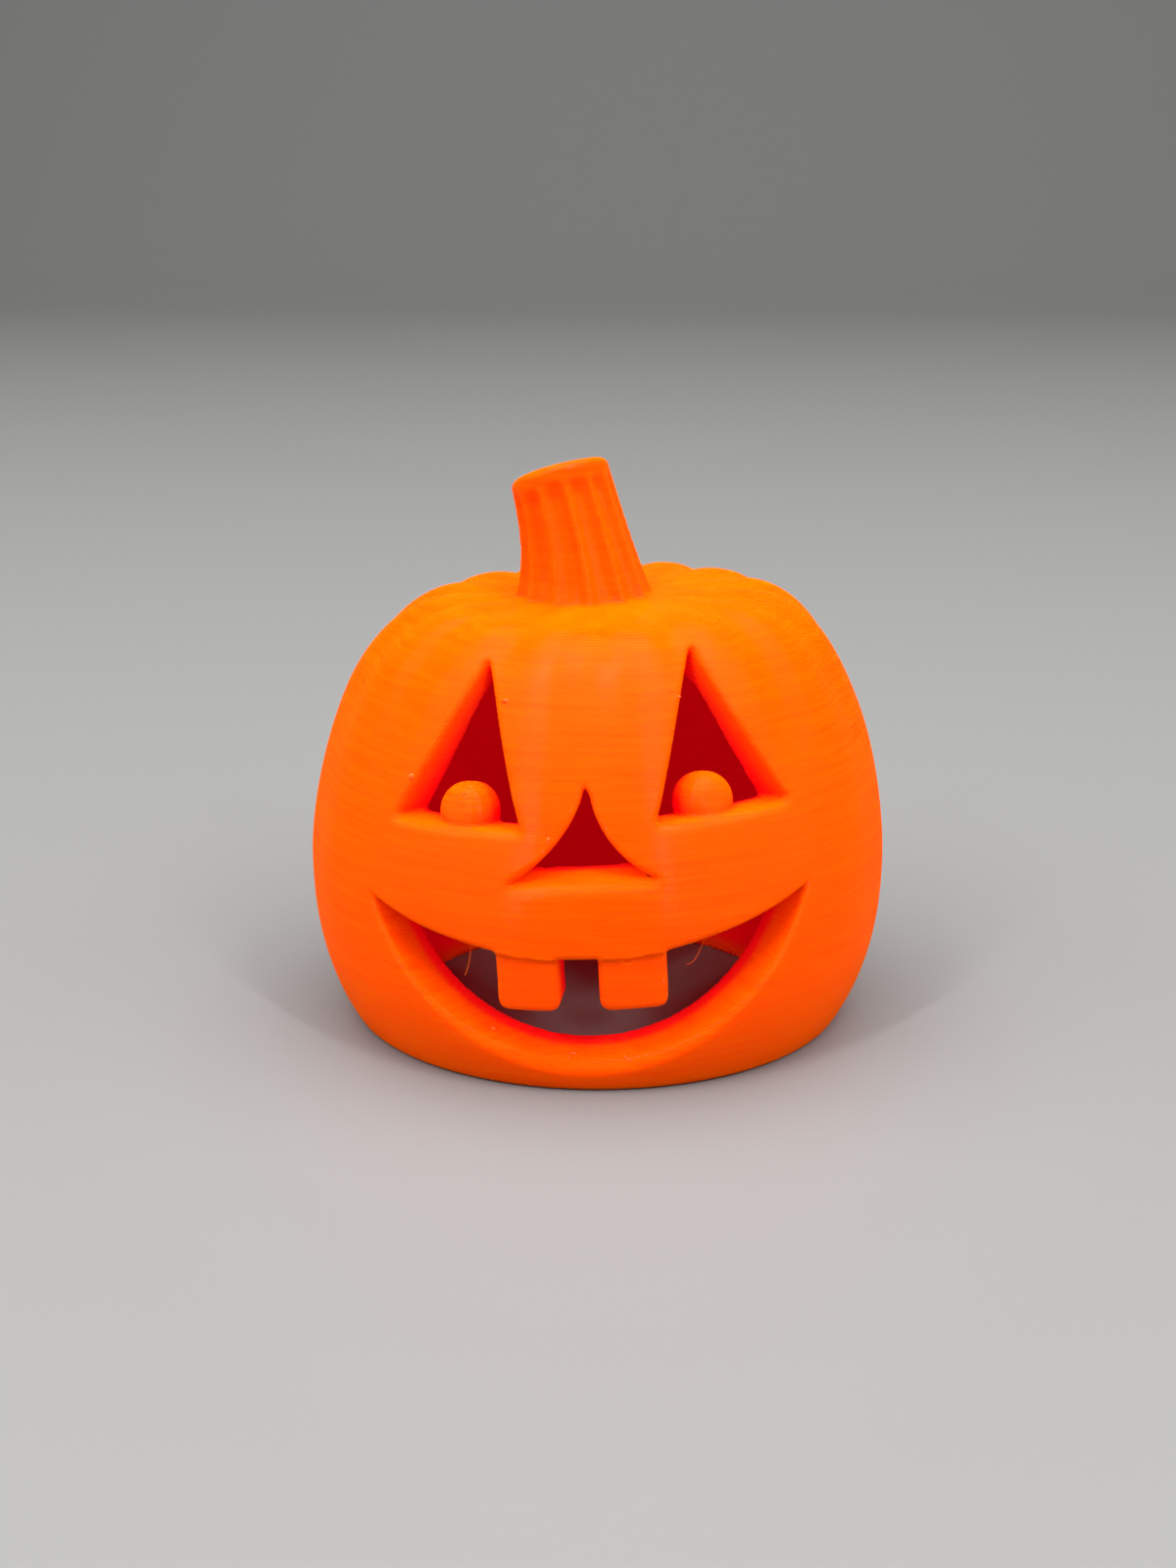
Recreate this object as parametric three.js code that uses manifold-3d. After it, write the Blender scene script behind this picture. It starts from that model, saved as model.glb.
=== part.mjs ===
// A small hollow jack-o'-lantern, moulded layer by layer in orange plastic as one piece.
// Millimetres, +Z up. The face looks along -Y and the open foot stands on z = 0.
import * as THREE from 'three';
import { mergeVertices } from 'three/addons/utils/BufferGeometryUtils.js';
import Module from 'manifold-3d';

const DEGREE = Math.PI / 180;

// Body of revolution before the ribs are pressed in
const BELLY_RADIUS = 32;
const BELLY_HEIGHT = 18.5;
const CROWN_HEIGHT = 47.5;
const CROWN_RADIUS = 15.1;
const CROWN_DIP = 0.5;
const CROWN_TILT = 1.5 * DEGREE;
const BODY_LEAN = 0.25;
const SHOULDER_ROUND = { radial: 2.41, upright: 1.62 };
const FOOT_ROUND = { power: 2.39, span: 30.1 };

// Ribs: even valleys all round, deepest on the crown and gone at the foot
const RIBS = 15;
const RIB_DEPTH = { belly: 0.2, crown: 0.85, onTop: 0.5, downwards: 0.7 };
const RIB_FADE = 2;
const CROWN_BLEND = 11;

// Hollow inside, open at the foot
const WALL = 5.3;
const HOLLOW_TOP = 42;
const HOLLOW_CROWN_RADIUS = 19;
const HOLLOW_FOOT_SPAN = 25.3;

// Face: outlines on the front of the body, the mouth drawn level and then leaned
const EYES = {
  left: [[-6.9, 28.7], [-10.7, 44.2], [-20.2, 28.3]],
  right: [[7.1, 29.7], [20.5, 30.3], [10.4, 45.4]],
  corner: 0.7,
  focus: 27,
};
const PUPIL = { radius: 2.8, length: 4.2, recess: 0.8, rounding: 0.9, sides: 24 };
const PUPIL_PLACES = [[-13.6, 30.45], [13, 31.85]];
const NOSE = {
  top: [-0.1, 33.5],
  left: [-7.7, 23.3],
  right: [6.8, 24.2],
  waists: [[-1.1, 28.6], [0.6, 28.2]],
  tip: 0.25,
  focus: 28,
};
const MOUTH_CENTRE = { x: 0.2, z: 14 };
const MOUTH_LEAN = 2.4 * DEGREE;
const MOUTH = { half: 22.6, corner: 20.2, lip: 3.4, roof: 16.1, bow: 2.2, focus: 12 };
const TEETH = { left: [-9.7, -3.1], right: [1.1, 8.3], tip: 10, corner: 1.3 };
const CUT = { front: 1.35, back: 0.45 };

// Stem: fluted, leaning to the left, with a slanted top
const STEM = {
  foot: { x: -1.3, z: 43.5 },
  top: { x: -4.4, z: 61.1 },
  forward: 0.6,
  radius: 5.25,
  flare: 3.5,
  flareHeight: 6.6,
  rounding: 0.8,
  slant: 15 * DEGREE,
  back: -14 * DEGREE,
  dome: 0.5,
};
const FLUTES = { count: 12, depth: 0.55, turn: -7 * DEGREE, fadeFrom: 0.8, fadeOver: 0.13, left: 0.1 };

const SIDES = 90;
const STEM_SIDES = 48;
const STEM_RINGS = 12;
const RIM_RINGS = 3;
const LIP_STEPS = 22;
const ROOF_STEPS = 6;

const wasm = await Module();
wasm.setup();

const clamp01 = (t) => Math.min(1, Math.max(0, t));
const smooth = (t) => { const c = clamp01(t); return c * c * (3 - 2 * c); };

// The two arcs of a body: a foot arc below the belly and a shoulder arc above it
function footArc(belly, span, z) {
  const drop = (BELLY_HEIGHT - z) / span;
  return belly * (1 - drop ** FOOT_ROUND.power) ** (1 / FOOT_ROUND.power);
}

function shoulderArc(belly, crownRadius, rise) {
  const cosine = Math.sqrt(1 - rise ** SHOULDER_ROUND.upright);
  return crownRadius + (belly - crownRadius) * cosine ** (2 / SHOULDER_ROUND.radial);
}

// Outer radius at a height, without ribs
function bodyRadius(z) {
  if (z < BELLY_HEIGHT) return footArc(BELLY_RADIUS, FOOT_ROUND.span, z);
  return shoulderArc(BELLY_RADIUS, CROWN_RADIUS, clamp01((z - BELLY_HEIGHT) / (CROWN_HEIGHT - BELLY_HEIGHT)));
}

// Profile of a pumpkin-like solid, from the axis at its foot to the axis at its crown
function profile({ belly, crownRadius, crownHeight, footSpan, below, dip, steps }) {
  const points = [new THREE.Vector2(0, -below)];
  if (below > 0) points.push(new THREE.Vector2(footArc(belly, footSpan, 0), -below));
  for (let i = 0; i <= steps.foot; i++) {
    const z = BELLY_HEIGHT * i / steps.foot;
    points.push(new THREE.Vector2(footArc(belly, footSpan, z), z));
  }
  for (let i = 1; i <= steps.shoulder; i++) {
    const rise = Math.sin(Math.PI / 2 * i / steps.shoulder) ** (2 / SHOULDER_ROUND.upright);
    const r = shoulderArc(belly, crownRadius, rise);
    points.push(new THREE.Vector2(r, BELLY_HEIGHT + (crownHeight - BELLY_HEIGHT) * rise));
  }
  for (let i = 1; i <= steps.crown; i++) {
    const t = i / steps.crown;
    points.push(new THREE.Vector2(crownRadius * (1 - t), crownHeight - dip * smooth(t)));
  }
  return points;
}

// A lathe turned to stand on +Z, with its seam welded and the flat triangles at the poles dropped
function lathe(points, sides) {
  const geometry = new THREE.LatheGeometry(points, sides);
  geometry.rotateX(Math.PI / 2);
  return weld(geometry);
}

function weld(geometry) {
  geometry.deleteAttribute('normal');
  geometry.deleteAttribute('uv');
  const welded = mergeVertices(geometry, 1e-4);
  const index = welded.getIndex().array;
  const kept = [];
  for (let i = 0; i < index.length; i += 3) {
    const [a, b, c] = [index[i], index[i + 1], index[i + 2]];
    if (a !== b && b !== c && c !== a) kept.push(a, b, c);
  }
  welded.setIndex(kept);
  return welded;
}

// Moves every vertex of a geometry by a function of its position
function reshape(geometry, move) {
  const position = geometry.getAttribute('position');
  const p = new THREE.Vector3();
  for (let i = 0; i < position.count; i++) {
    p.fromBufferAttribute(position, i);
    move(p);
    position.setXYZ(i, p.x, p.y, p.z);
  }
  return geometry;
}

// Turns a welded geometry into a solid, whichever way its faces were wound
function solid(geometry) {
  const vertProperties = new Float32Array(geometry.getAttribute('position').array);
  const triVerts = new Uint32Array(geometry.getIndex().array);
  const mesh = { numProp: 3, vertProperties, triVerts };
  const made = new wasm.Manifold(new wasm.Mesh(mesh));
  if (made.volume() > 0) return made;
  const flipped = triVerts.slice();
  for (let i = 0; i < flipped.length; i += 3) [flipped[i], flipped[i + 1]] = [flipped[i + 1], flipped[i]];
  return new wasm.Manifold(new wasm.Mesh({ numProp: 3, vertProperties, triVerts: flipped }));
}

function toGeometry(manifold) {
  const mesh = manifold.getMesh();
  const geometry = new THREE.BufferGeometry();
  const positions = new Float32Array(mesh.vertProperties.length / mesh.numProp * 3);
  for (let i = 0; i < positions.length / 3; i++) {
    for (let k = 0; k < 3; k++) positions[3 * i + k] = mesh.vertProperties[mesh.numProp * i + k];
  }
  geometry.setAttribute('position', new THREE.BufferAttribute(positions, 3));
  geometry.setIndex(Array.from(mesh.triVerts));
  geometry.computeVertexNormals();
  return geometry;
}

// How much of a rib valley there is at an azimuth, 0 on a lobe and 1 in a valley
function valley(azimuth) {
  return (0.5 + 0.5 * Math.cos(RIBS * azimuth)) ** 1.5;
}

function ribDepth(z) {
  const below = smooth(z / BELLY_HEIGHT);
  const above = smooth((z - BELLY_HEIGHT) / (CROWN_HEIGHT - BELLY_HEIGHT)) ** 2;
  return RIB_DEPTH.belly * below + (RIB_DEPTH.crown - RIB_DEPTH.belly) * above;
}

// Presses the valleys inwards on the side and downwards on the crown, then tilts and leans the top
function pressRibs(p) {
  const r = Math.hypot(p.x, p.y);
  if (r < 1e-6) return;
  const stemSide = smooth((r - RIB_FADE) / CROWN_RADIUS);
  const depth = ribDepth(p.z) * valley(Math.atan2(p.x, -p.y)) * stemSide;
  const onCrown = smooth((p.z - CROWN_HEIGHT) / CROWN_BLEND + 1);
  const scale = 1 - depth * (1 - RIB_DEPTH.onTop * onCrown) / r;
  p.x *= scale;
  p.y *= scale;
  p.z += Math.tan(CROWN_TILT) * p.x * onCrown - RIB_DEPTH.downwards * depth * onCrown;
  p.x += BODY_LEAN * smooth((p.z - BELLY_HEIGHT) / BELLY_HEIGHT);
}

function makeShell() {
  const outside = lathe(profile({
    belly: BELLY_RADIUS, crownRadius: CROWN_RADIUS, crownHeight: CROWN_HEIGHT,
    footSpan: FOOT_ROUND.span, below: 0, dip: CROWN_DIP, steps: { foot: 8, shoulder: 15, crown: 3 },
  }), SIDES);
  const inside = lathe(profile({
    belly: BELLY_RADIUS - WALL, crownRadius: HOLLOW_CROWN_RADIUS, crownHeight: HOLLOW_TOP,
    footSpan: HOLLOW_FOOT_SPAN, below: 2, dip: 0, steps: { foot: 5, shoulder: 8, crown: 1 },
  }), SIDES / 2);
  return solid(reshape(outside, pressRibs)).subtract(solid(inside));
}

// A point of a drawing, turned by the lean about the drawing's centre
function leaned([x, z], centre, lean) {
  const rise = z - centre.z;
  return [
    centre.x + x * Math.cos(lean) - rise * Math.sin(lean),
    centre.z + x * Math.sin(lean) + rise * Math.cos(lean),
  ];
}

// A closed outline through corner points, each corner rounded by a radius
function roundedOutline(corners, radius) {
  const shape = new THREE.Shape();
  const n = corners.length;
  corners.forEach((corner, i) => {
    const before = new THREE.Vector2(...corners[(i + n - 1) % n]);
    const after = new THREE.Vector2(...corners[(i + 1) % n]);
    const at = new THREE.Vector2(...corner);
    const start = before.clone().sub(at).setLength(radius).add(at);
    const end = after.clone().sub(at).setLength(radius).add(at);
    if (i === 0) shape.moveTo(start.x, start.y);
    else shape.lineTo(start.x, start.y);
    shape.quadraticCurveTo(at.x, at.y, end.x, end.y);
  });
  shape.closePath();
  return shape;
}

// Sweeps an outline drawn on the front of the body through the wall, towards a point on the
// axis, so that the hole narrows inwards. The two ends of a one-step extrusion are carried to
// points in front of the body and in the hollow.
function focusedCut(shape, focus, curveSegments) {
  const options = { depth: 1, steps: 1, bevelEnabled: false, curveSegments };
  const geometry = weld(new THREE.ExtrudeGeometry(shape, options));
  return solid(reshape(geometry, (p) => {
    const depth = Math.sqrt(bodyRadius(p.y) ** 2 - p.x * p.x);
    const scale = p.z < 0.5 ? CUT.front : CUT.back;
    p.set(p.x * scale, -depth * scale, focus + (p.y - focus) * scale);
  }));
}

function noseOutline() {
  const [top, z] = NOSE.top;
  const shape = new THREE.Shape();
  shape.moveTo(...NOSE.left);
  shape.lineTo(...NOSE.right);
  shape.quadraticCurveTo(...NOSE.waists[1], top + NOSE.tip, z);
  shape.lineTo(top - NOSE.tip, z);
  shape.quadraticCurveTo(...NOSE.waists[0], ...NOSE.left);
  return shape;
}

// The smile: a deep arc below, a shallow one above, and two teeth that hang from the upper one
function mouthOutline() {
  const { half, corner, lip, roof, bow } = MOUTH;
  const sagitta = corner - lip;
  const radius = (half ** 2 + sagitta ** 2) / (2 * sagitta);
  const lipHeight = (x) => lip + radius - Math.sqrt(radius ** 2 - x * x);
  const roofHeight = (x) => roof + (corner - roof) * Math.abs(x / half) ** bow;
  const points = [];
  for (let i = 0; i < LIP_STEPS; i++) {
    const x = half * Math.sin(Math.PI / 2 * (2 * i / LIP_STEPS - 1));
    points.push([x, lipHeight(x)]);
  }
  const roofTo = (from, to, steps) => {
    for (let i = 0; i <= steps; i++) {
      const x = from + (to - from) * i / steps;
      points.push([x, roofHeight(x)]);
    }
  };
  const toothTip = ([low, high]) => {
    const { tip, corner: c } = TEETH;
    points.push([high, tip + c], [high - 0.3 * c, tip + 0.3 * c], [high - c, tip]);
    points.push([low + c, tip], [low + 0.3 * c, tip + 0.3 * c], [low, tip + c]);
  };
  roofTo(half, TEETH.right[1], ROOF_STEPS);
  toothTip(TEETH.right);
  roofTo(TEETH.right[0], TEETH.left[1], 1);
  toothTip(TEETH.left);
  roofTo(TEETH.left[0], -half, ROOF_STEPS);
  points.pop();
  const placed = points.map((point) => leaned(point, MOUTH_CENTRE, MOUTH_LEAN));
  return new THREE.Shape(placed.map(([x, z]) => new THREE.Vector2(x, z)));
}

// A stub that stands on the eye's sill, square to the body, its round front a little sunk
function makePupil([x, z]) {
  const { radius: r, rounding: c, length, recess, sides } = PUPIL;
  const points = [[0, 0], [r - c, 0], [r - 0.3 * c, 0.3 * c], [r, c], [r, length], [0, length]];
  const geometry = weld(new THREE.LatheGeometry(points.map(([u, v]) => new THREE.Vector2(u, v)), sides));
  const y = -Math.sqrt(bodyRadius(z) ** 2 - x * x);
  const step = 0.1;
  const rise = Math.atan((bodyRadius(z - step) - bodyRadius(z + step)) / (2 * step));
  const turn = Math.atan2(x, -y);
  const inward = new THREE.Vector3(
    -Math.sin(turn) * Math.cos(rise), Math.cos(turn) * Math.cos(rise), -Math.sin(rise),
  );
  geometry.applyQuaternion(new THREE.Quaternion().setFromUnitVectors(new THREE.Vector3(0, 1, 0), inward));
  const front = new THREE.Vector3(x, y, z).addScaledVector(inward, recess);
  geometry.translate(front.x, front.y, front.z);
  return solid(geometry);
}

function makeStem() {
  const { radius, flare, flareHeight, rounding } = STEM;
  const height = STEM.top.z - STEM.foot.z;
  const points = [new THREE.Vector2(0, 0)];
  for (let i = 0; i <= STEM_RINGS; i++) {
    const z = (height - rounding) * i / STEM_RINGS;
    points.push(new THREE.Vector2(radius + flare * Math.exp(-z / flareHeight), z));
  }
  for (let i = 1; i <= RIM_RINGS; i++) {
    const a = Math.PI / 2 * i / RIM_RINGS;
    const r = radius - rounding * (1 - Math.cos(a));
    points.push(new THREE.Vector2(r, height - rounding * (1 - Math.sin(a))));
  }
  points.push(new THREE.Vector2(0, height));
  return solid(reshape(lathe(points, STEM_SIDES), (p) => {
    const t = p.z / height;
    const r = Math.hypot(p.x, p.y);
    const azimuth = Math.atan2(p.x, -p.y) - FLUTES.turn;
    const groove = 1 - (0.5 - 0.5 * Math.cos(FLUTES.count * azimuth)) ** 2;
    const faded = 1 - (1 - FLUTES.left) * smooth((t - FLUTES.fadeFrom) / FLUTES.fadeOver);
    const depth = FLUTES.depth * groove * smooth(r / radius) * faded;
    const scale = r > 0 ? 1 - depth / r : 1;
    p.x *= scale;
    p.y *= scale;
    const dome = STEM.dome * (r / radius) ** 2;
    p.z += STEM.foot.z + smooth(t) * (Math.tan(STEM.slant) * p.x + Math.tan(STEM.back) * p.y - dome);
    p.x += STEM.foot.x + (STEM.top.x - STEM.foot.x) * t * t * (3 - t) / 2;
    p.y -= STEM.forward * (1 - t);
  }));
}

function makeLantern() {
  const cuts = [
    focusedCut(roundedOutline(EYES.left, EYES.corner), EYES.focus, 3),
    focusedCut(roundedOutline(EYES.right, EYES.corner), EYES.focus, 3),
    focusedCut(noseOutline(), NOSE.focus, 6),
    focusedCut(mouthOutline(), MOUTH.focus, 1),
  ];
  let lantern = makeShell();
  for (const cut of cuts) lantern = lantern.subtract(cut);
  for (const place of PUPIL_PLACES) lantern = lantern.add(makePupil(place));
  return toGeometry(lantern.add(makeStem()));
}

const orangePlastic = new THREE.MeshStandardMaterial({ color: 0xff5a00, roughness: 0.42, metalness: 0 });

const lantern = new THREE.Mesh(makeLantern(), orangePlastic);
lantern.name = 'pumpkin_lantern';

const group = new THREE.Group();
group.add(lantern);

export default group;
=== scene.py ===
"""The looks of a small jack-o'-lantern printed in orange plastic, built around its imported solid."""

import math

import bmesh
import bpy
import numpy as np
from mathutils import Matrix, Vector


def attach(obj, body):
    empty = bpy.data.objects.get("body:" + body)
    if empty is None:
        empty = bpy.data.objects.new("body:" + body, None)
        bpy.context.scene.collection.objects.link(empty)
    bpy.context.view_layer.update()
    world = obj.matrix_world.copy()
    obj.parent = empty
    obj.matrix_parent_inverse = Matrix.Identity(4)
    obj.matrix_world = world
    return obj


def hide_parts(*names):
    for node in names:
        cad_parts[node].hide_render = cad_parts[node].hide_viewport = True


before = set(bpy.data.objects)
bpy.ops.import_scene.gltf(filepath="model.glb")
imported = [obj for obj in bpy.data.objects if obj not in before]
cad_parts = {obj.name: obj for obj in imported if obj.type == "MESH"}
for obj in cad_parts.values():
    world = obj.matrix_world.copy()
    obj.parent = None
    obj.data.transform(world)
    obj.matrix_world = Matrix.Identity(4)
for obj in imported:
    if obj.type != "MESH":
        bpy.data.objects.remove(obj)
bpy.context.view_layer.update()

NODE = "pumpkin_lantern"
MM = 0.001

# Body, in millimetres, as the solid has it
BELLY_RADIUS = 32.0
BELLY_HEIGHT = 18.5
CROWN_HEIGHT = 47.5
CROWN_RADIUS = 15.1
CROWN_DIP = 0.5
CROWN_TILT = math.radians(1.5)
BODY_LEAN = 0.25
SHOULDER_RADIAL = 2.41
SHOULDER_UPRIGHT = 1.62
FOOT_POWER = 2.39
FOOT_SPAN = 30.1
RIBS = 15
RIB_BELLY = 0.2
RIB_CROWN = 0.85
RIB_SHARPNESS = 1.5
RIB_ON_TOP = 0.5
RIB_SINK = 0.7
RIB_FADE = 5.0
CROWN_BLEND = 11.0

# Hollow
WALL = 5.3
HOLLOW_TOP = 42.0
HOLLOW_CROWN_RADIUS = 19.0
HOLLOW_FOOT_SPAN = 25.3

# Face, drawn on the front of the body
EYES = (
    ((-6.9, 28.7), (-10.8, 44.8), (-20.2, 28.3)),
    ((7.1, 29.7), (20.5, 30.3), (10.3, 46.0)),
)
EYE_CORNER = 0.7
EYE_FOCUS = 27.0
PUPIL_RADIUS = 2.95
PUPIL_LENGTH = 4.2
PUPIL_RECESS = 0.8
PUPIL_PLACES = ((-13.6, 30.3), (13.0, 31.7))
NOSE_TOP = (-0.1, 33.5)
NOSE_LEFT = (-7.7, 23.3)
NOSE_RIGHT = (6.8, 24.2)
NOSE_WAISTS = ((-1.1, 28.6), (0.6, 28.2))
NOSE_TIP = 0.25
NOSE_FOCUS = 28.0
MOUTH_CENTRE = (0.2, 14.0)
MOUTH_LEAN = math.radians(2.4)
MOUTH_HALF = 22.8
MOUTH_CORNER = 20.4
MOUTH_LIP = 3.4
MOUTH_ROOF = 16.1
MOUTH_BOW = 2.2
MOUTH_FOCUS = 12.0
TEETH = ((-9.7, -3.1), (1.1, 8.3))
TOOTH_TIP = 10.0
TOOTH_CORNER = 1.3
TOOTH_RECESS = 0.55

# Stem
STEM_FOOT = (-1.3, 43.5)
STEM_TOP = (-4.4, 61.1)
STEM_FORWARD = 0.9
STEM_RADIUS = 5.25
STEM_FLARE = 4.0
STEM_FLARE_HEIGHT = 6.6
STEM_ROUNDING = 0.8
STEM_SLANT = math.radians(15)
STEM_BACK = math.radians(-14)
STEM_DOME = 0.5
FLUTES = 12
FLUTE_DEPTH = 0.95
FLUTE_TURN = math.radians(-7)
FLUTE_FADE = (0.8, 0.13, 0.9)

# Radii of the rounded edges; a pair goes from the first to the second
EDGE_EYE = (0.7, 1.1)
EDGE_NOSE = (0.6, 1.2)
EDGE_LIP = (1.7, 0.7)
EYE_SILL = 32.5
NOSE_SILL = 27.0
SILL_BLEND = 3.0
LIP_BLEND = 22.0
TOOTH_BLEND = 0.4
EDGE_TOOTH = 0.7
EDGE_FOOT = 0.5
EDGE_HOLLOW = 0.25
FILLET_STEM = 0.4
FILLET_PUPIL = 0.4
PUPIL_FRONT = 2.2
PUPIL_BACK = 0.6

# The face's cuts end this far in front of the middle
HALF_WAY = 6.0

# Mesh
SPACE_LOW = (-34.0, -34.0, -1.0)
SPACE_HIGH = (34.0, 34.0, 64.0)
CELL = 0.42
BLOCK = 5
BLOCK_REACH = 1.3
RELAX_ROUNDS = 3
TRIANGLES = 190000
FINE_FRONT = -12.0

# Plastic: where painted shade and a painted glow turn it crimson, its layer lines and its colours
PAINTED_SHADE_DEPTH = 4.0
LIT_SLOPE = 0.5
LIT_SHARE = 0.95
WALL_MARGIN = 1.0
WALL_BLEND = 1.2
LAYER = 0.2
WAVE_PERIOD = 0.314
LAYER_RELIEF = 0.06
RELIEF_PER_METRE = (260, 260, 3600)
STREAKS_PER_METRE = (90, 90, 2200)
STEM_LAYERS = 0.2
STEM_LAYERS_BLEND = 1.5
RED_ORANGE = (1.0, 0.065, 0.0, 1)
PALE_ORANGE = (1.0, 0.086, 0.0, 1)
# Painted shade: the crimson that the cuts' walls and the hollow are painted with
PAINTED_SHADE_CRIMSON = (0.95, 0.006, 0.004, 1)
# A painted glow: crimson light given off by the cuts and the hollow
PAINTED_GLOW_CRIMSON = (1, 0, 0.02, 1)
BLACK = (0, 0, 0, 1)

# Blobs of plastic on the front: across, height and radius
BLOBS = (
    (-8.4, 40.9, 0.28), (-8.05, 40.4, 0.2), (-7.3, 41.1, 0.16), (-18.2, 32.6, 0.28),
    (8.4, 38.6, 0.24), (9.0, 41.4, 0.2), (8.2, 42.0, 0.18), (-12.6, 31.7, 0.24), (-9.8, 6.2, 0.3),
    (7.8, 13.4, 0.2), (-4.3, 27.1, 0.16), (-3.8, 28.3, 0.2), (-3.3, 29.4, 0.15), (-1.5, 4.05, 0.3),
    (-1.9, 3.85, 0.22), (4.3, 3.9, 0.26), (3.9, 4.1, 0.18),
)
BLOB_TURN = 2.4
BLOB_STRETCH = 0.4
BLOB_HEIGHT = 0.8
# Fine strings of plastic left in the mouth
STRINGS = (
    ((-11.9, -28.1, 16.2), (-12.0, -27.9, 14.7), (-12.2, -27.8, 13.9), (-12.6, -27.5, 12.7)),
    ((11.9, -28.0, 17.2), (11.2, -28.3, 15.4), (10.9, -28.4, 14.7), (10.1, -28.7, 14.7)),
    ((3.5, -31.7, 16.2), (3.8, -31.75, 15.6), (4.4, -31.7, 15.45), (4.9, -31.5, 16.2)),
)
STRING_RADIUS = 0.03
STRING_SIDES = 6


def smooth(t):
    """Goes softly from 0 to 1 while its value does."""
    c = np.clip(t, 0, 1)
    return c * c * (3 - 2 * c)


def meet_round(a, b, radius):
    """What two solids share, with the edge between them rounded."""
    reach = np.hypot(np.maximum(a + radius, 0), np.maximum(b + radius, 0))
    return np.minimum(np.maximum(a, b), -radius) + reach


def join_round(a, b, radius):
    """Two solids together, with a fillet between them."""
    reach = np.hypot(np.maximum(radius - a, 0), np.maximum(radius - b, 0))
    return np.maximum(np.minimum(a, b), radius) - reach


def blended(pair, t):
    """A value that goes softly from the first of two to the second."""
    return pair[0] + (pair[1] - pair[0]) * smooth(t)


def outline_distance(outline, u, v):
    """Signed distance to a closed outline, negative inside."""
    nearest = np.full(u.shape, np.inf)
    inside = np.zeros(u.shape, bool)
    for (au, av), (bu, bv) in zip(outline, np.roll(outline, -1, axis=0)):
        du = bu - au
        dv = bv - av
        along = np.clip(((u - au) * du + (v - av) * dv) / (du * du + dv * dv + 1e-18), 0, 1)
        nearest = np.minimum(nearest, (u - au - along * du) ** 2 + (v - av - along * dv) ** 2)
        crosses = (av > v) != (bv > v)
        inside ^= crosses & (u < au + du * (v - av) / (dv if dv else 1.0))
    return np.where(inside, -1, 1) * np.sqrt(nearest)


def between(values, fu, fv):
    """Reads a grid at fractional places."""
    fu = np.clip(fu, 0, values.shape[0] - 1.001)
    fv = np.clip(fv, 0, values.shape[1] - 1.001)
    i = fu.astype(int)
    j = fv.astype(int)
    s = fu - i
    t = fv - j
    low = values[i, j] * (1 - s) + values[i + 1, j] * s
    high = values[i, j + 1] * (1 - s) + values[i + 1, j + 1] * s
    return low * (1 - t) + high * t


class DistanceMap:
    """The signed distance to an outline, kept on a grid and read back between its points."""

    def __init__(self, outline, step, margin):
        outline = np.array(outline, float)
        self.step = step
        self.low = outline.min(0) - margin
        size = np.ceil((outline.max(0) + margin - self.low) / step).astype(int) + 1
        u = self.low[0] + step * np.arange(size[0])
        v = self.low[1] + step * np.arange(size[1])
        self.values = outline_distance(outline, *np.meshgrid(u, v, indexing="ij"))

    def __call__(self, u, v):
        return between(self.values, (u - self.low[0]) / self.step, (v - self.low[1]) / self.step)


def foot_arc(belly, span, z):
    """Radius below the belly, at a height."""
    drop = (BELLY_HEIGHT - z) / span
    return belly * (1 - drop ** FOOT_POWER) ** (1 / FOOT_POWER)


def shoulder_arc(belly, crown_radius, rise):
    """Radius above the belly, at a share of the way up to the crown."""
    cosine = np.sqrt(1 - rise ** SHOULDER_UPRIGHT)
    return crown_radius + (belly - crown_radius) * cosine ** (2 / SHOULDER_RADIAL)


def body_radius(z):
    """Radius of the body between its ribs' valleys, at a height."""
    z = np.asarray(z, float)
    rise = np.clip((z - BELLY_HEIGHT) / (CROWN_HEIGHT - BELLY_HEIGHT), 0, 1)
    foot = foot_arc(BELLY_RADIUS, FOOT_SPAN, np.minimum(z, BELLY_HEIGHT))
    return np.where(z < BELLY_HEIGHT, foot, shoulder_arc(BELLY_RADIUS, CROWN_RADIUS, rise))


def profile(belly, crown_radius, crown_height, foot_span, dip):
    """The outline of a pumpkin-like solid, both halves, a little below the floor to its crown."""
    below = 2.5
    feet = np.linspace(-below, BELLY_HEIGHT, 40)
    rises = np.sin(np.linspace(0, math.pi / 2, 70)[1:]) ** (2 / SHOULDER_UPRIGHT)
    inward = np.linspace(0, 1, 16)[1:]
    r = np.concatenate([
        foot_arc(belly, foot_span, feet),
        shoulder_arc(belly, crown_radius, rises),
        crown_radius * (1 - inward),
    ])
    z = np.concatenate([
        feet,
        BELLY_HEIGHT + (crown_height - BELLY_HEIGHT) * rises,
        crown_height - dip * smooth(inward),
    ])
    right = np.stack([r, z], 1)
    left = right[:-1][::-1] * (-1, 1)
    return np.concatenate([right, left])


def leaned(point, centre, lean):
    """A point of the face drawing, turned by the face's lean."""
    x, z = point
    rise = z - centre[1]
    return (
        centre[0] + x * math.cos(lean) - rise * math.sin(lean),
        centre[1] + x * math.sin(lean) + rise * math.cos(lean),
    )


def curve(start, bend, end, steps):
    """Points of a quadratic curve, without its last one."""
    t = np.linspace(0, 1, steps, endpoint=False)[:, None]
    return (1 - t) ** 2 * np.array(start) + 2 * t * (1 - t) * np.array(bend) + t ** 2 * np.array(end)


def dense(points, spacing=0.3):
    """A closed outline with its long sides split up, so that it bends with the body."""
    made = []
    for a, b in zip(points, np.roll(points, -1, axis=0)):
        steps = max(1, int(np.hypot(*(b - a)) / spacing))
        made.append(a + (b - a) * np.linspace(0, 1, steps, endpoint=False)[:, None])
    return np.concatenate(made)


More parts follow.
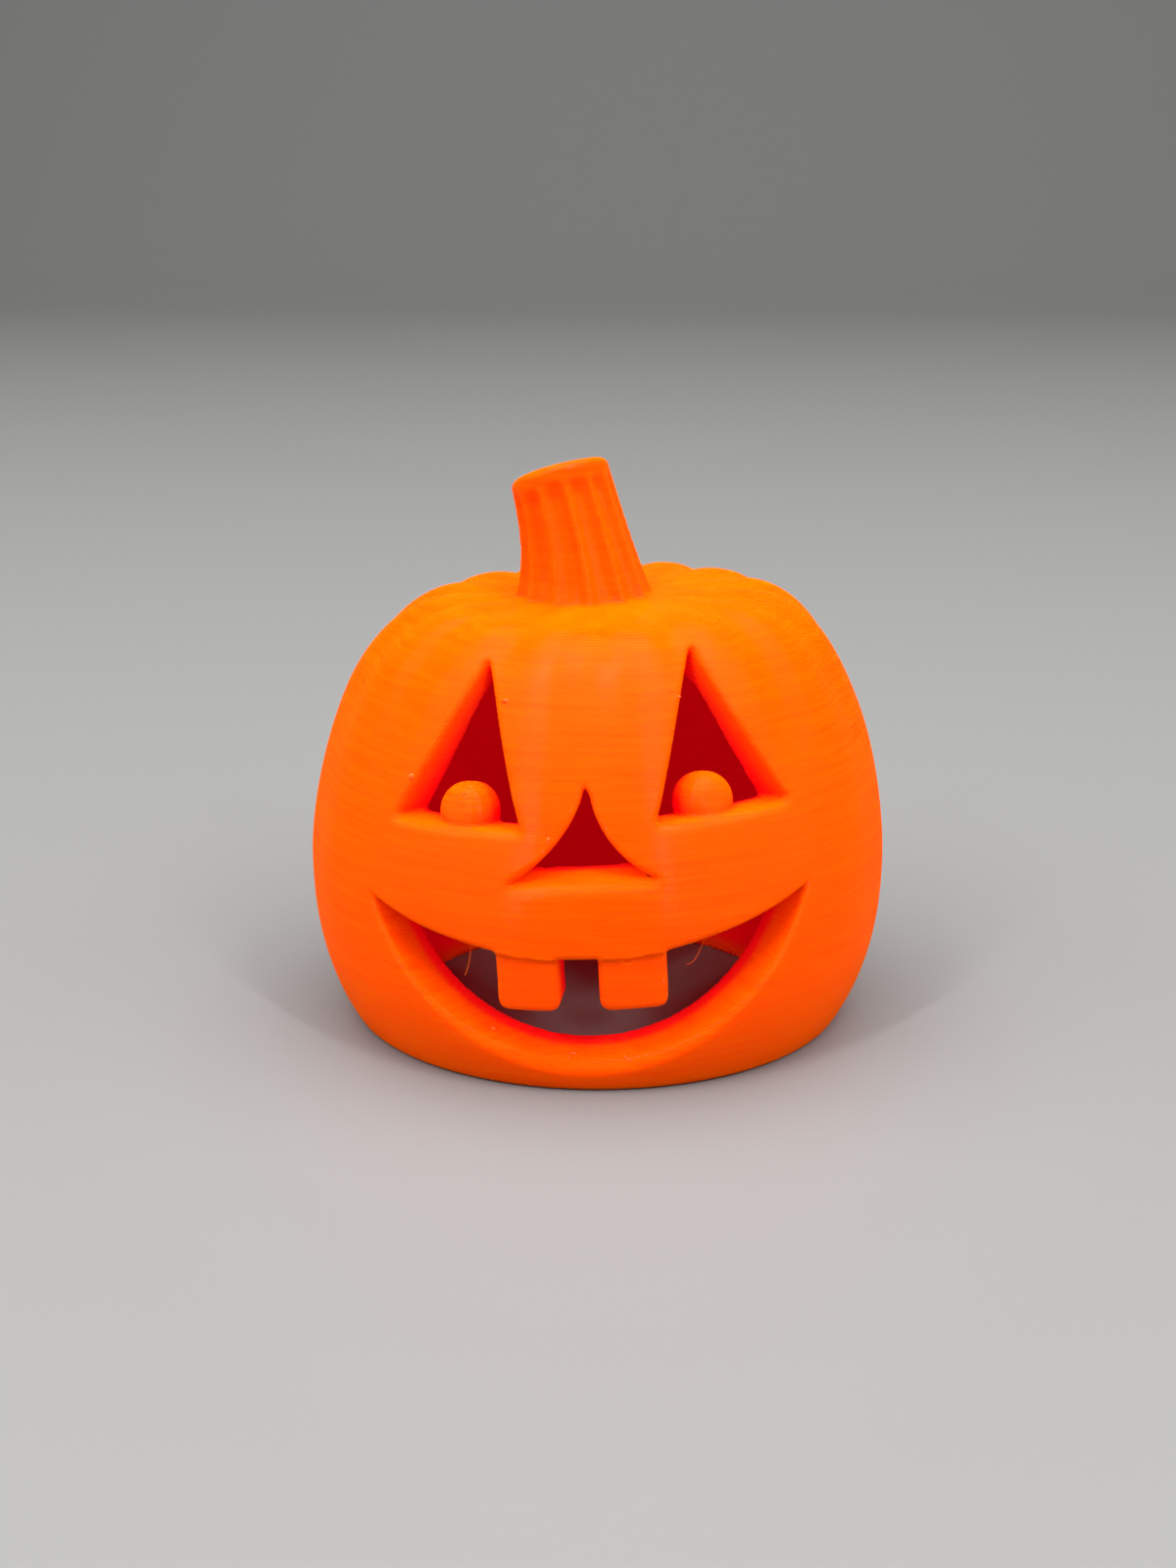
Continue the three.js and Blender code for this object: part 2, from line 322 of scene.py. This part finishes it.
def eye_outline(corners):
    """A triangle with rounded corners."""
    corners = np.array(corners)
    points = []
    for i, at in enumerate(corners):
        before = corners[i - 1] - at
        after = corners[(i + 1) % 3] - at
        start = at + before / np.hypot(*before) * EYE_CORNER
        end = at + after / np.hypot(*after) * EYE_CORNER
        points += [*curve(start, at, end, 6), end]
    return dense(np.array(points))


def nose_outline():
    """A triangle with two hollow sides and a narrow tip."""
    top, z = NOSE_TOP
    points = [
        [NOSE_LEFT],
        curve(NOSE_RIGHT, NOSE_WAISTS[1], (top + NOSE_TIP, z), 12),
        curve((top - NOSE_TIP, z), NOSE_WAISTS[0], NOSE_LEFT, 12),
    ]
    return dense(np.concatenate(points))


def extended(points, reach=8.0):
    """An open line carried on straight at both ends."""
    first = points[0] + (points[0] - points[1]) / np.hypot(*(points[0] - points[1])) * reach
    last = points[-1] + (points[-1] - points[-2]) / np.hypot(*(points[-1] - points[-2])) * reach
    return np.concatenate([[first], points, [last]])


def mouth_side(points, far):
    """The outline of what lies beyond a line of the mouth, as far as a height."""
    line = np.array([leaned(point, MOUTH_CENTRE, MOUTH_LEAN) for point in extended(points)])
    return np.concatenate([line, [[line[-1][0], far], [line[0][0], far]]])


def above_lip():
    """What lies above the mouth's lower edge, an arc."""
    sagitta = MOUTH_CORNER - MOUTH_LIP
    radius = (MOUTH_HALF ** 2 + sagitta ** 2) / (2 * sagitta)
    across = MOUTH_HALF * np.sin(np.linspace(-math.pi / 2, math.pi / 2, 60))
    lip = np.stack([across, MOUTH_LIP + radius - np.sqrt(radius ** 2 - across ** 2)], 1)
    return mouth_side(lip, 45)


def roof(start, end):
    """The mouth's upper edge between two places."""
    x = np.linspace(start, end, max(2, int(abs(end - start) / 0.5)))
    rise = (MOUTH_CORNER - MOUTH_ROOF) * np.abs(x / MOUTH_HALF) ** MOUTH_BOW
    return np.stack([x, MOUTH_ROOF + rise], 1)


def tooth(low, high):
    """The outline of one tooth, from right to left."""
    c = TOOTH_CORNER
    right = curve((high, TOOTH_TIP + c), (high, TOOTH_TIP), (high - c, TOOTH_TIP), 6)
    left = curve((low + c, TOOTH_TIP), (low, TOOTH_TIP), (low, TOOTH_TIP + c), 6)
    return np.concatenate([right, [[high - c, TOOTH_TIP]], left, [[low, TOOTH_TIP + c]]])


def below_roof(with_teeth):
    """What lies below the mouth's upper edge."""
    if not with_teeth:
        return mouth_side(roof(MOUTH_HALF, -MOUTH_HALF), -15)
    left, right = TEETH
    parts = [roof(MOUTH_HALF, right[1]), tooth(*right), roof(right[0], left[1]), tooth(*left)]
    return mouth_side(np.concatenate([*parts, roof(left[0], -MOUTH_HALF)]), -15)


class FocusedCut:
    """A hole that narrows towards a point on the axis."""

    def __init__(self, outline, focus):
        self.focus = focus
        x, z = outline.T
        radius = body_radius(np.clip(z, 0, CROWN_HEIGHT))
        across = np.arcsin(np.clip(x / radius, -0.98, 0.98))
        spread = np.stack([across, (z - focus) / radius], 1)
        self.map = DistanceMap(spread, step=0.006, margin=0.3)

    def __call__(self, x, y, z):
        """Distance to the hole's side, negative in the hole."""
        r = np.maximum(np.hypot(x, y), 1e-6)
        hole = self.map(np.arctan2(x, -y), (z - self.focus) / r) * r
        return np.maximum(hole, y + HALF_WAY)


BODY_MAP = DistanceMap(
    profile(BELLY_RADIUS, CROWN_RADIUS, CROWN_HEIGHT, FOOT_SPAN, CROWN_DIP), step=0.25, margin=4
)
HOLLOW_MAP = DistanceMap(
    profile(BELLY_RADIUS - WALL, HOLLOW_CROWN_RADIUS, HOLLOW_TOP, HOLLOW_FOOT_SPAN, 0.0),
    step=0.25,
    margin=4,
)
EYE_CUTS = [FocusedCut(eye_outline(corners), EYE_FOCUS) for corners in EYES]
NOSE_CUT = FocusedCut(nose_outline(), NOSE_FOCUS)
ABOVE_LIP = FocusedCut(dense(above_lip()), MOUTH_FOCUS)
BELOW_ROOF = FocusedCut(dense(below_roof(True)), MOUTH_FOCUS)
BELOW_PLAIN_ROOF = FocusedCut(dense(below_roof(False)), MOUTH_FOCUS)


def body_distance(x, y, z):
    """Distance to the ribbed body, found by undoing the ribs, the tilt and the lean of the crown."""
    x = x - BODY_LEAN * smooth((z - BELLY_HEIGHT) / BELLY_HEIGHT)
    r = np.hypot(x, y)
    valley = (0.5 + 0.5 * np.cos(RIBS * np.arctan2(x, -y))) ** RIB_SHARPNESS
    valley = valley * smooth((r - RIB_FADE) / CROWN_RADIUS)
    before = z
    for _ in range(2):
        below = smooth(before / BELLY_HEIGHT)
        above = smooth((before - BELLY_HEIGHT) / (CROWN_HEIGHT - BELLY_HEIGHT)) ** 2
        depth = (RIB_BELLY * below + (RIB_CROWN - RIB_BELLY) * above) * valley
        on_crown = smooth((before - CROWN_HEIGHT) / CROWN_BLEND + 1)
        before = z - math.tan(CROWN_TILT) * x * on_crown + RIB_SINK * depth * on_crown
    return BODY_MAP(r + depth * (1 - RIB_ON_TOP * on_crown), before)


def pupil_distance(place, x, y, z):
    """A short stub that stands square to the body's surface."""
    px, pz = place
    py = -math.sqrt(body_radius(pz) ** 2 - px * px)
    rise = math.atan(-(body_radius(pz + 0.1) - body_radius(pz - 0.1)) / 0.2)
    turn = math.atan2(px, -py)
    axis = (math.sin(turn) * math.cos(rise), -math.cos(turn) * math.cos(rise), math.sin(rise))
    dx = x - px
    dy = y - py
    dz = z - pz
    along = dx * axis[0] + dy * axis[1] + dz * axis[2]
    off_axis = np.sqrt(np.maximum(dx * dx + dy * dy + dz * dz - along ** 2, 0))
    round_front = meet_round(off_axis - PUPIL_RADIUS, along + PUPIL_RECESS, PUPIL_FRONT)
    return meet_round(round_front, -along - PUPIL_RECESS - PUPIL_LENGTH, PUPIL_BACK)


def stem_distance(x, y, z):
    """Distance to the leaning, fluted stem with its slanted top."""
    height = STEM_TOP[1] - STEM_FOOT[1]
    t = np.clip((z - STEM_FOOT[1]) / height, 0, 1)
    x = x - STEM_FOOT[0] - (STEM_TOP[0] - STEM_FOOT[0]) * t * t * (3 - t) / 2
    y = y + STEM_FORWARD * (1 - t)
    r = np.hypot(x, y)
    dome = STEM_DOME * (r / STEM_RADIUS) ** 2
    z = z - STEM_FOOT[1] - smooth(t) * (math.tan(STEM_SLANT) * x + math.tan(STEM_BACK) * y - dome)
    t = np.clip(z / height, 0, 1)
    turn = np.arctan2(x, -y) - FLUTE_TURN
    groove = 1 - (0.5 - 0.5 * np.cos(FLUTES * turn)) ** 2
    start, over, share = FLUTE_FADE
    fade = smooth(r / STEM_RADIUS) * (1 - share * smooth((t - start) / over))
    radius = STEM_RADIUS + STEM_FLARE * np.exp(-np.maximum(z, 0) / STEM_FLARE_HEIGHT)
    slope = STEM_FLARE / STEM_FLARE_HEIGHT * np.exp(-np.maximum(z, 0) / STEM_FLARE_HEIGHT)
    side = (r + FLUTE_DEPTH * groove * fade - radius) / np.sqrt(1 + slope ** 2)
    return np.maximum(meet_round(side, z - height, STEM_ROUNDING), -z)


def lantern_distance(x, y, z):
    """Signed distance to the whole lantern in millimetres, negative in the plastic."""
    d = body_distance(x, y, z)
    for cut in EYE_CUTS:
        d = meet_round(d, -cut(x, y, z), blended(EDGE_EYE, (EYE_SILL - z) / SILL_BLEND))
    d = meet_round(d, -NOSE_CUT(x, y, z), blended(EDGE_NOSE, (NOSE_SILL - z) / SILL_BLEND))
    lip = meet_round(d, -ABOVE_LIP(x, y, z), blended(EDGE_LIP, np.abs(x) / LIP_BLEND))
    set_back = TOOTH_RECESS * smooth(-BELOW_PLAIN_ROOF(x, y, z) / TOOTH_BLEND)
    teeth = meet_round(d + set_back, -BELOW_ROOF(x, y, z), EDGE_TOOTH)
    d = np.minimum(lip, teeth)
    d = meet_round(d, -z, EDGE_FOOT)
    d = meet_round(d, -HOLLOW_MAP(np.hypot(x, y), z), EDGE_HOLLOW)
    for place in PUPIL_PLACES:
        d = join_round(d, pupil_distance(place, x, y, z), FILLET_PUPIL)
    return join_round(d, stem_distance(x, y, z), FILLET_STEM)


def sampled(distance, low, blocks):
    """The distance on a grid, worked out only in the blocks that the surface may pass."""
    corner = np.argwhere(np.ones(blocks, bool))
    rough = distance(*(low + CELL * (BLOCK * corner + (BLOCK - 1) / 2)).T)
    field = rough.reshape(blocks)
    for axis in range(3):
        field = np.repeat(field, BLOCK, axis)
    steps = np.argwhere(np.ones((BLOCK, BLOCK, BLOCK), bool))
    near = corner[np.abs(rough) < BLOCK_REACH * CELL * BLOCK]
    at = (BLOCK * near[:, None] + steps).reshape(-1, 3)
    field[tuple(at.T)] = distance(*(low + CELL * at).T)
    return field


def surface_net(distance, low, high):
    """One quad for each grid edge that crosses the surface, with a vertex in each cell it passes."""
    blocks = np.ceil((high - low) / CELL / BLOCK).astype(int)
    field = sampled(distance, low, blocks)
    size = np.array(field.shape)
    inside = field < 0
    corners = [(a, b, c) for a in (0, 1) for b in (0, 1) for c in (0, 1)]

    def shifted(values, corner):
        return values[tuple(slice(o, o + n - 1) for o, n in zip(corner, size))]

    count = sum(shifted(inside, corner).astype(np.int8) for corner in corners)
    cells = np.argwhere((count > 0) & (count < 8))
    number = np.full(tuple(size - 1), -1, np.int64)
    number[tuple(cells.T)] = np.arange(len(cells))
    total = np.zeros((len(cells), 3))
    crossings = np.zeros(len(cells))
    for first in corners:
        for axis in range(3):
            if first[axis]:
                continue
            second = tuple(1 if k == axis else first[k] for k in range(3))
            a = field[tuple((cells + first).T)]
            b = field[tuple((cells + second).T)]
            hit = (a < 0) != (b < 0)
            share = np.where(hit, a / np.where(hit, a - b, 1), 0)
            point = np.tile(np.array(first, float), (len(cells), 1))
            point[:, axis] = share
            total += point * hit[:, None]
            crossings += hit
    vertices = low + CELL * (cells + total / crossings[:, None])
    quads = []
    for axis in range(3):
        others = [(axis + 1) % 3, (axis + 2) % 3]
        start = [slice(None)] * 3
        end = [slice(None)] * 3
        start[axis] = slice(0, -1)
        end[axis] = slice(1, None)
        leaving = inside[tuple(start)] & ~inside[tuple(end)]
        entering = ~inside[tuple(start)] & inside[tuple(end)]
        for mask, order in ((leaving, (0, 1, 2, 3)), (entering, (3, 2, 1, 0))):
            at = np.argwhere(mask)
            ring = []
            for u, v in ((0, 0), (-1, 0), (-1, -1), (0, -1)):
                step = np.zeros(3, int)
                step[others[0]] = u
                step[others[1]] = v
                ring.append(number[tuple((at + step).T)])
            quads.append(np.stack([ring[k] for k in order], 1))
    return vertices, np.concatenate(quads)


def gradient(distance, points, reach=0.02):
    """The direction in which the distance grows, from small steps each way."""
    made = []
    for axis in range(3):
        step = np.zeros(3)
        step[axis] = reach
        made.append(distance(*(points + step).T) - distance(*(points - step).T))
    return np.stack(made, 1) / (2 * reach)


def onto_surface(distance, points, weakest=0.25):
    """Moves points straight to the surface."""
    g = gradient(distance, points)
    away = distance(*points.T) / np.maximum((g * g).sum(1), weakest)
    return points - np.clip(away, -CELL, CELL)[:, None] * g


def relaxed(distance, points, quads):
    """Evens out the quads, keeping the vertices on the surface."""
    links = np.concatenate([quads[:, [k, (k + 1) % 4]] for k in range(4)])
    weight = np.bincount(links[:, 0], minlength=len(points))
    weight = weight + np.bincount(links[:, 1], minlength=len(points))
    points = onto_surface(distance, points)
    for _ in range(RELAX_ROUNDS):
        total = np.zeros_like(points)
        for k in range(3):
            total[:, k] = np.bincount(links[:, 0], points[links[:, 1], k], len(points))
            total[:, k] += np.bincount(links[:, 1], points[links[:, 0], k], len(points))
        points = onto_surface(distance, points + 0.5 * (total / weight[:, None] - points))
    return onto_surface(distance, points)


def mesh_object(name, vertices, faces, material):
    """A smooth-shaded piece from vertices in millimetres."""
    mesh = bpy.data.meshes.new(name)
    mesh.from_pydata((np.asarray(vertices) * MM).tolist(), [], faces)
    mesh.shade_smooth()
    mesh.materials.append(material)
    mesh.update()
    piece = bpy.data.objects.new(name, mesh)
    bpy.context.scene.collection.objects.link(piece)
    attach(piece, "root")
    return piece


def save_values(mesh, name, values):
    """Keeps one number for each vertex, for the material to read."""
    attribute = mesh.attributes.new(name, "FLOAT", "POINT")
    attribute.data.foreach_set("value", values.astype(np.float32))


def new_material(name):
    material = bpy.data.materials.new(name)
    material.use_nodes = True
    return material, material.node_tree.nodes, material.node_tree.links


def plastic(name, see_through, gloss):
    """Satin orange plastic with layer lines, with painted shade in crimson and a faint painted
    crimson glow where it is deep in a cut or the hollow.
    """
    material, nodes, links = new_material(name)
    shader = nodes["Principled BSDF"]
    shader.inputs["Roughness"].default_value = 0.4
    shader.inputs["Specular IOR Level"].default_value = 0.0
    shader.inputs["Coat Weight"].default_value = gloss
    shader.inputs["Coat Roughness"].default_value = 0.13
    # A faint painted glow, where the depth attribute is high, though the plastic is no lamp
    shader.inputs["Emission Strength"].default_value = 0.09
    shader.inputs["Subsurface Weight"].default_value = see_through
    shader.inputs["Subsurface Radius"].default_value = (1.0, 0.15, 0.03)
    shader.inputs["Subsurface Scale"].default_value = 0.003
    place = nodes.new("ShaderNodeTexCoord")

    def stretched(scale):
        mapping = nodes.new("ShaderNodeMapping")
        mapping.inputs["Scale"].default_value = scale
        links.new(place.outputs["Object"], mapping.inputs["Vector"])
        return mapping.outputs["Vector"]

    beads = nodes.new("ShaderNodeTexWave")
    beads.bands_direction = "Z"
    beads.wave_profile = "SIN"
    beads.inputs["Scale"].default_value = 1.0
    links.new(stretched((0, 0, WAVE_PERIOD / (LAYER * MM))), beads.inputs["Vector"])

    drift = nodes.new("ShaderNodeTexNoise")
    drift.inputs["Scale"].default_value = 1.0
    drift.inputs["Detail"].default_value = 2.0
    links.new(stretched(RELIEF_PER_METRE), drift.inputs["Vector"])

    heights = nodes.new("ShaderNodeMix")
    heights.data_type = "FLOAT"
    heights.inputs["Factor"].default_value = 0.5
    links.new(beads.outputs["Fac"], heights.inputs["A"])
    links.new(drift.outputs["Fac"], heights.inputs["B"])

    bump = nodes.new("ShaderNodeBump")
    layers = nodes.new("ShaderNodeAttribute")
    layers.attribute_name = "layers"
    links.new(layers.outputs["Fac"], bump.inputs["Strength"])
    bump.inputs["Distance"].default_value = LAYER_RELIEF * MM
    links.new(heights.outputs["Result"], bump.inputs["Height"])
    links.new(bump.outputs["Normal"], shader.inputs["Normal"])
    links.new(bump.outputs["Normal"], shader.inputs["Coat Normal"])

    streaks = nodes.new("ShaderNodeTexNoise")
    streaks.inputs["Scale"].default_value = 1.0
    streaks.inputs["Detail"].default_value = 3.0
    links.new(stretched(STREAKS_PER_METRE), streaks.inputs["Vector"])
    tint = nodes.new("ShaderNodeValToRGB")
    tint.color_ramp.elements[0].position = 0.3
    tint.color_ramp.elements[0].color = RED_ORANGE
    tint.color_ramp.elements[1].position = 0.7
    tint.color_ramp.elements[1].color = PALE_ORANGE
    links.new(streaks.outputs["Fac"], tint.inputs["Fac"])
    # The depth attribute carries the painted shade: crimson deep in the cuts and the hollow
    depth = nodes.new("ShaderNodeAttribute")
    depth.attribute_name = "depth"
    painted_shade = nodes.new("ShaderNodeMix")
    painted_shade.data_type = "RGBA"
    painted_shade.inputs["B"].default_value = PAINTED_SHADE_CRIMSON
    links.new(depth.outputs["Fac"], painted_shade.inputs["Factor"])
    links.new(tint.outputs["Color"], painted_shade.inputs["A"])
    links.new(painted_shade.outputs["Result"], shader.inputs["Base Color"])
    # Painted glow: crimson emission deep in the cuts and the hollow
    painted_glow = nodes.new("ShaderNodeMix")
    painted_glow.data_type = "RGBA"
    painted_glow.inputs["A"].default_value = BLACK
    painted_glow.inputs["B"].default_value = PAINTED_GLOW_CRIMSON
    links.new(depth.outputs["Fac"], painted_glow.inputs["Factor"])
    links.new(painted_glow.outputs["Result"], shader.inputs["Emission Color"])
    return material


def floor_material():
    """Matt pale grey."""
    material, nodes, _ = new_material("pale_floor")
    shader = nodes["Principled BSDF"]
    shader.inputs["Base Color"].default_value = (0.17, 0.17, 0.168, 1)
    shader.inputs["Roughness"].default_value = 0.6
    return material


def make_stage():
    """A pale floor that curves up into a backdrop."""
    width = 3.0
    back = 1.4
    bend = 0.5
    rise = 2.0
    line = [(-3.0, 0.0), (back - bend, 0.0)]
    for i in range(1, 13):
        angle = math.pi / 2 * i / 12
        line.append((back - bend + bend * math.sin(angle), bend - bend * math.cos(angle)))
    line.append((back, rise))
    vertices = [(x, y, z) for y, z in line for x in (-width, width)]
    faces = [(2 * i, 2 * i + 1, 2 * i + 3, 2 * i + 2) for i in range(len(line) - 1)]
    mesh = bpy.data.meshes.new("floor")
    mesh.from_pydata(vertices, [], faces)
    mesh.shade_smooth()
    mesh.materials.append(floor_material())
    floor = bpy.data.objects.new("floor", mesh)
    bpy.context.scene.collection.objects.link(floor)


def soft_light(name, azimuth, elevation, distance, size, watts, target=(0, 0, 0.03)):
    """An area light at an azimuth and elevation seen from the object, turned towards it."""
    a = math.radians(azimuth)
    e = math.radians(elevation)
    back = Vector((math.sin(a) * math.cos(e), -math.cos(a) * math.cos(e), math.sin(e)))
    data = bpy.data.lights.new(name, "AREA")
    data.shape = "RECTANGLE"
    data.size = size[0]
    data.size_y = size[1]
    data.energy = watts
    light = bpy.data.objects.new(name, data)
    light.location = Vector(target) + back * distance
    light.rotation_euler = (-back).to_track_quat("-Z", "Y").to_euler()
    bpy.context.scene.collection.objects.link(light)


def make_lights():
    """Soft light from both sides and above, and two narrow strips for the sheen."""
    soft_light("side_left", -68, 44, 0.9, (1.2, 1.2), 10.0)
    soft_light("side_right", 68, 44, 0.9, (1.2, 1.2), 9.8)
    soft_light("strip_left", -33, 46, 0.9, (0.02, 0.45), 3.4)
    soft_light("strip_right", 35, 46, 0.9, (0.02, 0.45), 3.4)
    soft_light("overhead", 0, 92, 0.9, (0.9, 0.9), 12.5)
    world = bpy.data.worlds.new("studio")
    world.use_nodes = True
    world.node_tree.nodes["Background"].inputs["Color"].default_value = (1, 0.97, 0.93, 1)
    world.node_tree.nodes["Background"].inputs["Strength"].default_value = 0.2
    bpy.context.scene.world = world


def make_camera():
    """The photograph's view: 16.3 degrees down, from a little to the right, 25 cm away."""
    pitch = math.radians(16.32)
    turn = math.radians(2.3)
    aside = 0.0333 * BELLY_RADIUS
    distance = 7.919 * BELLY_RADIUS
    height = 3.109 * BELLY_RADIUS
    data = bpy.data.cameras.new("camera")
    data.lens = 54
    data.sensor_width = 36
    data.clip_start = 0.01
    camera = bpy.data.objects.new("camera", data)
    camera.location = (
        (distance * math.sin(turn) - aside * math.cos(turn)) * MM,
        (-distance * math.cos(turn) - aside * math.sin(turn)) * MM,
        height * MM,
    )
    camera.rotation_euler = (math.pi / 2 - pitch, 0, turn)
    bpy.context.scene.collection.objects.link(camera)
    bpy.context.scene.camera = camera


def thinned(piece, in_front):
    """Fewer triangles where the face doesn't need them, with all of them kept at its edges."""
    group = piece.vertex_groups.new(name="plain")
    for index in np.flatnonzero(~in_front):
        group.add([int(index)], 1.0, "REPLACE")
    modifier = piece.modifiers.new("thinned", "DECIMATE")
    modifier.ratio = TRIANGLES / (2 * len(piece.data.polygons))
    modifier.vertex_group = group.name
    evaluated = piece.evaluated_get(bpy.context.evaluated_depsgraph_get())
    mesh = bpy.data.meshes.new_from_object(evaluated)
    piece.modifiers.clear()
    piece.vertex_groups.clear()
    piece.data = mesh


def make_lantern(material):
    """The whole lantern as one closed mesh, finest round the face."""
    vertices, quads = surface_net(lantern_distance, np.array(SPACE_LOW), np.array(SPACE_HIGH))
    vertices = relaxed(lantern_distance, vertices, quads)
    piece = mesh_object("lantern", vertices, quads.tolist(), material)
    outside = -body_distance(*vertices.T) < WALL - WALL_MARGIN
    thinned(piece, outside & (vertices[:, 1] < FINE_FRONT))
    mesh = piece.data
    vertices = np.empty(3 * len(mesh.vertices), np.float32)
    mesh.vertices.foreach_get("co", vertices)
    vertices = vertices.reshape(-1, 3) / MM
    normals = gradient(lantern_distance, vertices)
    normals /= np.linalg.norm(normals, axis=1)[:, None]
    mesh.normals_split_custom_set_from_vertices(normals.tolist())
    # Painted shade: crimson deep in the cuts and the hollow, left orange on walls that face up into
    # the light
    facing_up = smooth(normals[:, 2] / LIT_SLOPE)
    sunk = -body_distance(*vertices.T)
    in_wall = smooth((WALL - WALL_MARGIN - sunk) / WALL_BLEND)
    on_stem = smooth(-sunk / STEM_LAYERS_BLEND)
    save_values(mesh, "depth", smooth(sunk / PAINTED_SHADE_DEPTH) * (1 - LIT_SHARE * facing_up * in_wall))
    save_values(mesh, "layers", 1 - (1 - STEM_LAYERS) * on_stem)
    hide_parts(NODE)


def front_point(x, z):
    """Where a line straight back at a place and height first meets the plastic."""
    y = np.arange(-BELLY_RADIUS - 1, 0, 0.05)
    inside = lantern_distance(np.full_like(y, x), y, np.full_like(y, z)) < 0
    if not inside.any():
        raise ValueError(f"no plastic at {x}, {z}")
    return Vector((x, y[np.argmax(inside)], z))


def make_blobs(material):
    """Small drops that the print left on the surface."""
    shape = bmesh.new()
    bmesh.ops.create_icosphere(shape, subdivisions=2, radius=1)
    ball = np.array([v.co for v in shape.verts])
    faces = np.array([[v.index for v in face.verts] for face in shape.faces])
    shape.free()
    vertices = []
    all_faces = []
    for i, (x, z, radius) in enumerate(BLOBS):
        turn = BLOB_TURN * i
        across = 1 + BLOB_STRETCH * math.cos(turn)
        upward = 1 + BLOB_STRETCH * math.sin(turn)
        long = np.array((across, BLOB_HEIGHT, upward))
        vertices.append(np.array(front_point(x, z)) + ball * radius * long)
        all_faces.append(faces + len(ball) * i)
    vertices = np.concatenate(vertices)
    piece = mesh_object("print_blobs", vertices, np.concatenate(all_faces).tolist(), material)
    save_values(piece.data, "layers", np.zeros(len(vertices)))


def string_line(path, steps=13):
    """Points along the smooth curve that four points of a string guide."""
    a, b, c, d = [np.array(point) for point in path]
    t = np.linspace(0, 1, steps)[:, None]
    return (1 - t) ** 3 * a + 3 * t * (1 - t) ** 2 * b + 3 * t ** 2 * (1 - t) * c + t ** 3 * d


def make_strings(material):
    """Hair-thin strings of plastic, each a closed tube."""
    sides = STRING_SIDES
    forward = np.array((0, 1, 0))
    vertices = []
    faces = []
    for path in STRINGS:
        line = string_line(path)
        across = np.cross(np.gradient(line, axis=0), forward)
        across /= np.linalg.norm(across, axis=1)[:, None]
        start = len(vertices)
        for point, side in zip(line, across):
            for k in range(sides):
                angle = 2 * math.pi * k / sides
                offset = side * math.cos(angle) + forward * math.sin(angle)
                vertices.append(point + STRING_RADIUS * offset)
        for ring in range(len(line) - 1):
            for k in range(sides):
                first = start + ring * sides + k
                second = start + ring * sides + (k + 1) % sides
                faces.append((first, second, second + sides, first + sides))
        faces.append(tuple(range(start + sides - 1, start - 1, -1)))
        faces.append(tuple(range(len(vertices) - sides, len(vertices))))
    mesh_object("print_strings", vertices, faces, material)


make_camera()
make_stage()
make_lights()
orange = plastic("printed_orange_plastic", 0.5, 0.065)
make_lantern(orange)
make_blobs(plastic("dripped_orange_plastic", 0.0, 0.6))
make_strings(orange)
bpy.context.scene.view_settings.view_transform = "Standard"
